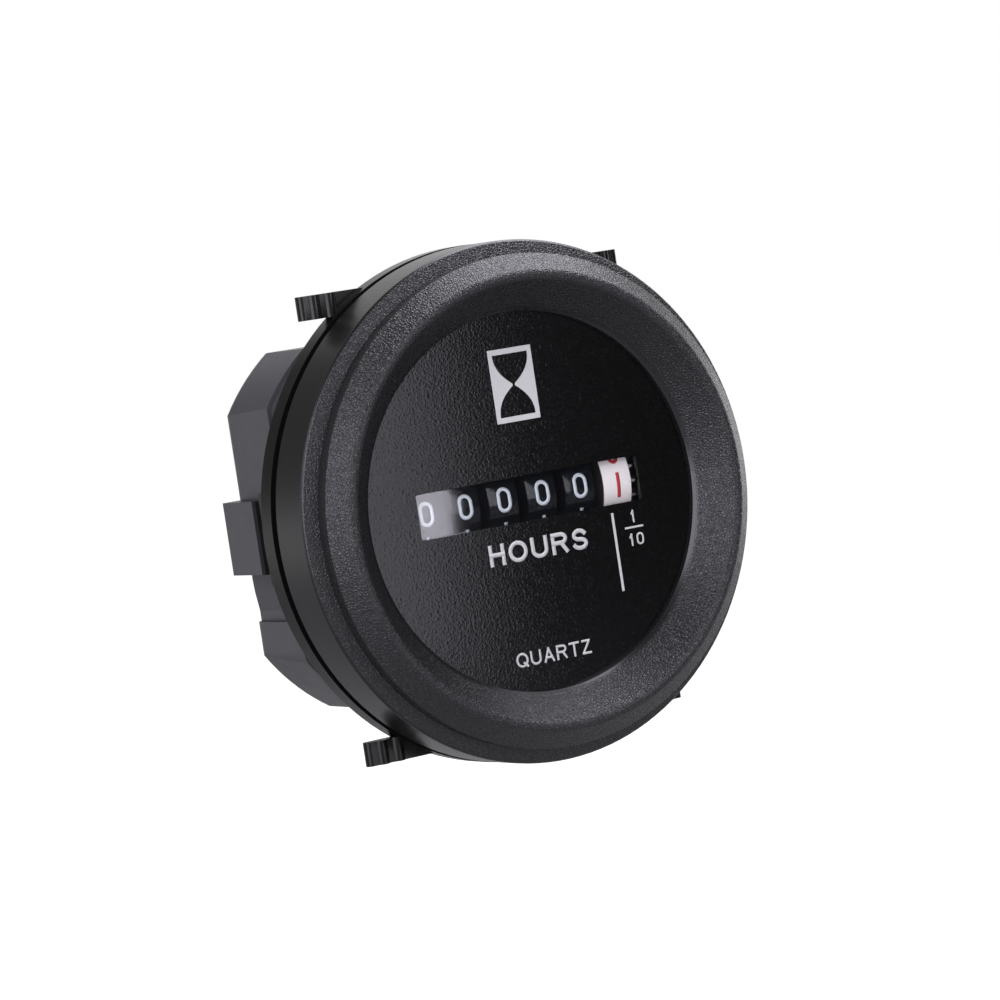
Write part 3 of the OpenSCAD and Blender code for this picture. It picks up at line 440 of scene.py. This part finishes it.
def printed(name, characters, width, finish, on_drum, y, z=0.0):
    """Characters in ink, laid round the drum about (y, z) if on_drum is 1, and flat at y if it is 0."""
    values = {"Stroke": width, "Around": on_drum, "Axis Y": y, "Axis Z": z, "Finish": finish.material}
    piece = strokes(name, characters, width)
    modifier = piece.modifiers.new("print", "NODES")
    modifier.node_group = printing
    for item in printing.interface.items_tree:
        if item.in_out == "INPUT" and item.name in values:
            modifier[item.identifier] = values[item.name]
    seen = piece.evaluated_get(bpy.context.evaluated_depsgraph_get())
    mesh = bpy.data.meshes.new_from_object(seen)
    bpy.data.objects.remove(piece)
    return new_piece(name, mesh)


white_ink = ink("figure_white", (0.68, 0.72, 0.79, 1.0))
red_ink = ink("figure_red", (0.50, 0.02, 0.045, 1.0))
figure_tall, bar_tall, figure_step, figure_shift = 2.88, 2.6, wheel_r * math.radians(36), 0.3
hours_wide, hours_stroke, hours_first = 1.85, 0.42, 0.05
tenths_wide, tenths_stroke, tenths_first = 1.5, 0.44, 0.862
for k in range(1, 7):
    x = (k - 3.5) * wheel_pitch - figure_shift
    if k == 6:
        body, paint, bar = "tenths_wheel", red_ink, figure_tall
        wide, width, first = tenths_wide, tenths_stroke, tenths_first
    else:
        body, paint, bar = "hour_wheel_%d" % k, white_ink, bar_tall
        wide, width, first = hours_wide, hours_stroke, hours_first
    row = [(sign, x, (first - d) * figure_step, wide, bar if sign == "|" else figure_tall)
        for d, sign in enumerate("0|23456789")]
    figures = printed("figures_%d" % k, row, width, paint, 1.0, wheel_y, wheel_z)
    carry(figures, body)

# Dial plate: a black disc embossed with a leather grain, behind the bezel's lip. Its marks are
# printed in white: an hourglass, the unit, a rule beside the tenths and the kind of movement.
dial_front = -5.55
dial = Finish("dial_leather", Specular_IOR_Level=0.2, Specular_Tint=COOL)
creases = ramp(dial.cells(0.42, dial.bent(0.5, 0.30)), 0.0, 0.30)
wrinkles = dial.wire.math("ABSOLUTE", dial.noise(0.55, 1.0) - 0.5) * 4
pebbles = creases * 0.4 + wrinkles * 0.7
dial.set("Base Color", mix(pebbles, grey(0.003), grey(0.006, (1.0, 1.0, 1.08))))
dial.set("Roughness", 0.06 + dial.noise(0.25, 1.0) * 0.04)
dial.relief(pebbles, 0.0032)
dress(dial, "dial_plate")

print_ink = ink("dial_white", (0.53, 0.53, 0.545, 1.0))
ink_back = dial_front - ink_lift
ink_front = ink_back - ink_thick


def lettering(name, characters, width):
    letters = printed(name + "_print", characters, width, print_ink, 0.0, dial_front)
    carry(letters, "meter_case")


def word(name, text, x0, x1, z, tall, width, gap, shares):
    """A word from x0 to x1. shares says how wide a letter is beside the plain ones."""
    shares = [shares.get(sign, 1.0) for sign in text]
    unit = (x1 - x0 - gap * (len(text) - 1)) / sum(shares)
    places, x = [], x0
    for sign, share in zip(text, shares):
        places.append((sign, x + unit * share / 2, z, unit * share, tall))
        x += unit * share + gap
    lettering(name, places, width)


word("hours", "HOURS", -6.45, 6.65, -5.24, 2.42, 0.47, 0.48, {"H": 0.92, "O": 1.12, "S": 0.96})
word("quartz", "QUARTZ", -5.0, 5.0, -17.28, 1.65, 0.26, 0.3, {"Q": 1.12, "T": 0.95, "Z": 0.9})
lettering("tenths", [("1", 13.05, -3.82, 0.75, 1.38), ("1", 12.45, -6.45, 0.75, 1.4),
    ("0", 13.62, -6.45, 0.98, 1.4)], 0.23)
rules = [rectangle(10.18, -11.95, 10.5, -3.05), rectangle(11.75, -5.16, 14.25, -4.94)]
carry(slab("tenths_rule", rules, ink_front, ink_back, print_ink), "meter_case")

icon_half, icon_low, icon_high, icon_edge = 2.85, 9.04, 17.28, 0.62
waist_z, waist_half, neck = (icon_low + icon_high) / 2, 0.16, 0.12
glass_half, glass_power, glass_steps = icon_half - 0.55, 2.3, 20
bulb = icon_high - icon_edge - waist_z - neck
profile = [(waist_half, 0)]
for i in range(glass_steps + 1):
    swell = 1 - (1 - i / glass_steps) ** glass_power
    profile.append((waist_half + (glass_half - waist_half) * swell, neck + bulb * i / glass_steps))
glass = [(x, waist_z - z) for x, z in reversed(profile)] + [(x, waist_z + z) for x, z in profile[1:]]
half_icon = [(0, icon_low + icon_edge)] + glass + [(0, icon_high - icon_edge), (0, icon_high),
    (icon_half, icon_high), (icon_half, icon_low), (0, icon_low)]
other_half = [(-x, z) for x, z in reversed(half_icon)]
icon = slab("hourglass_print", [half_icon, other_half], ink_front, ink_back, print_ink)
carry(icon, "meter_case")

# Window pane: clear acrylic pressed into the dial from behind. Its two faces are polished and
# mirror the lamps faintly, and its sawn sides sit unseen in the dial's cut edge.
head_on_mirror = 0.04
pane = Finish("clear_acrylic")
see = pane.wire.node("ShaderNodeBsdfTransparent", None, {"Color": (0.995, 0.998, 1.0, 1.0)})
gloss = pane.wire.node("ShaderNodeBsdfGlossy", None, {"Color": (0.96, 0.93, 1.0, 1.0), "Roughness": 0.03})
outwards = pane.wire.node("ShaderNodeSeparateXYZ", None, {
    0: pane.wire.node("ShaderNodeTexCoord", out="Normal")}, out="Y")
polished = pane.wire.math("GREATER_THAN", outwards * outwards, 0.5)
slant = pane.wire.node("ShaderNodeLayerWeight", None, {"Blend": 0.5}, out="Facing")
mirrored = (head_on_mirror + slant ** 5 * (1 - head_on_mirror)) * polished
clear = pane.wire.node("ShaderNodeMixShader", None, {0: mirrored, 1: see, 2: gloss})
clear.feed("Material Output", "Surface")
dress(pane, "window_pane")

# Bezel: one black moulding with two cones, a stepped shoulder and a smooth side wall. The tool
# is grained on the cones and the shoulder and plain on the side wall.
grain_end, wall_start, lip_end, cone_start = 28.95 * MM, 29.15 * MM, 21.4 * MM, 21.9 * MM
bezel = Finish("bezel_grain", Specular_Tint=COOL)
across_x, across_z = bezel.axis("X"), bezel.axis("Z")
radius = (across_x * across_x + across_z * across_z) ** 0.5
smooth_wall = ramp(radius, grain_end, wall_start)
grained = (1 - smooth_wall) * ramp(radius, lip_end, cone_start)
pores = ramp(bezel.cells(0.32, bezel.bent(0.36, 0.24)), 0.0, 0.32)
grain = pores * 0.7 + bezel.noise(0.16, 2.0) * 0.6
bezel.set("Base Color", mix(grain * (1 - smooth_wall * 0.8), grey(0.004), grey(0.014, (1.0, 1.0, 1.08))))
bezel.set("Roughness", 0.26 + grained * (0.20 - grain * 0.22))
bezel.relief(grain * grained, 0.046)
dress(bezel, "bezel")

# Panel gasket and retaining ring: a soft black rubber washer, and behind the panel a glossy
# black ring with a tongue at each side and four ridged spring fingers, which press the panel
# against the bezel.
dress(moulded("gasket_rubber", grey(0.008), 0.75, 0.1, 0.008), "panel_gasket")
ring_finish = moulded("ring_gloss", grey(0.005, (1.0, 1.0, 1.05)), 0.22, 0.3, 0.003)
ring_finish.set("Specular IOR Level", 0.28)
dress(ring_finish, "retaining_ring")

# Stage: the meter hangs over a pale floor in front of a pale backdrop. Soft boxes stand at the
# left, overhead, at the right and at the front right, with a weak wide one to fill the front,
# and the camera looks from the left as in the photograph.
scene = bpy.context.scene
scene.view_settings.view_transform = "Standard"
world = bpy.data.worlds.new("studio")
world.use_nodes = True
scene.world = world


def sees_backdrop(wire, others):
    """One for a ray from the camera, and others for a ray that a shiny or clear piece sends on."""
    camera_ray, shiny_ray, clear_ray = [wire.node("ShaderNodeLightPath", out="Is %s Ray" % kind)
        for kind in ("Camera", "Glossy", "Transmission")]
    return wire.math("MAXIMUM", camera_ray, wire.math("MAXIMUM", shiny_ray, clear_ray) * others)


room, mirrored_backdrop = 0.10, 0.9
card_place, card_shade = Vector((-0.28, 0.88, 0.34)).normalized(), 0.9
card_edge, card_full = math.cos(math.radians(27)), math.cos(math.radians(12))
sky = Wire(world.node_tree)
direction = sky.node("ShaderNodeTexCoord", out="Generated")
behind, height = [sky.node("ShaderNodeSeparateXYZ", None, {0: direction}, out=axis) for axis in "YZ"]
towards_card = sky.node("ShaderNodeVectorMath", {"operation": "DOT_PRODUCT"}, {
    0: direction, 1: card_place}, out="Value")
card = ramp(towards_card, card_edge, card_full)
backdrop = ramp(behind, 0.0, 0.4) * (1 - ramp(height, 0.05, 0.5) * 0.3) * (1 - card * card_shade)
strength = room + sees_backdrop(sky, backdrop * mirrored_backdrop) * (1 - room)
strength.feed("Background", "Strength")
world.node_tree.nodes["Background"].inputs["Color"].default_value = grey(1.0)

floor_half, floor_z, floor_shade, mirrored_floor = 3, -0.12, 0.62, 0.65
paper = bpy.data.materials.new("pale_paper")
paper.use_nodes = True
sheet = Wire(paper.node_tree)
spot = sheet.node("ShaderNodeTexCoord", out="Object")
distance = sheet.node("ShaderNodeVectorMath", {"operation": "LENGTH"}, {0: spot}, out="Value")
rearwards = sheet.node("ShaderNodeSeparateXYZ", None, {0: spot}, out="Y")
pale = floor_shade + ramp(distance, 0.16, 0.34) * (1 - floor_shade)
shown = sees_backdrop(sheet, ramp(distance, 0.25, 1.2) * ramp(rearwards, 0.0, 0.4) * mirrored_floor)
glow = sheet.node("ShaderNodeEmission", None, {"Strength": shown * pale})
matt = sheet.node("ShaderNodeBsdfDiffuse", None, {"Color": grey(0.36)})
both = sheet.node("ShaderNodeAddShader", None, {0: matt, 1: glow})
both.feed("Material Output", "Surface")
floor_mesh = bpy.data.meshes.new("floor")
corners = rectangle(-floor_half, -floor_half, floor_half, floor_half)
floor_mesh.from_pydata([(x, y, floor_z) for x, y in corners], [], [(0, 1, 2, 3)])
floor_mesh.materials.append(paper)
floor = new_piece("floor", floor_mesh)

for name, place, wide, tall, radiance in (
    ("left_box", (-0.64, -0.42, 0.20), 0.60, 0.75, 4.5),
    ("top_box", (0.37, -0.04, 0.60), 0.60, 0.55, 7.0),
    ("right_box", (0.70, 0.22, 0.0), 0.40, 0.22, 1.8),
    ("front_box", (0.3025, -0.80, 0.15), 0.28, 0.6, 4.5),
    ("front_fill", (-0.25, -0.90, 0.20), 0.9, 0.9, 0.5),
):
    lamp = bpy.data.lights.new(name, "AREA")
    lamp.shape, lamp.size, lamp.size_y = "RECTANGLE", wide, tall
    lamp.energy = radiance * math.pi * wide * tall
    lamp.color = (0.985, 0.98, 1.03)
    soft_box = bpy.data.objects.new(name, lamp)
    scene.collection.objects.link(soft_box)
    soft_box.location = place
    soft_box.visible_camera = False
    soft_box.rotation_mode = "QUATERNION"
    soft_box.rotation_quaternion = (-Vector(place)).to_track_quat("-Z", "Y")

yaw, pitch, roll = math.radians(31.545), math.radians(3.595), math.radians(-8.523)
sensor, focal_widths, aim, camera_distance = 36.0, 4.0404, Vector((0, -6.25 * MM, 0)), 0.45
back = Vector((-math.sin(yaw) * math.cos(pitch), -math.cos(yaw) * math.cos(pitch), math.sin(pitch)))
level = Vector((0, 0, 1)).cross(back).normalized()
upright = back.cross(level)
right = level * math.cos(roll) + upright * math.sin(roll)
up = upright * math.cos(roll) - level * math.sin(roll)
lens = bpy.data.cameras.new("camera")
lens.sensor_width, lens.lens = sensor, focal_widths * sensor
lens.shift_x, lens.shift_y = -0.03447, 0.00088
lens.clip_start, lens.clip_end = 0.01, 20.0
camera = bpy.data.objects.new("camera", lens)
scene.collection.objects.link(camera)
camera.matrix_world = Matrix((right, up, back)).transposed().to_4x4()
camera.location = aim + back * camera_distance
scene.camera = camera
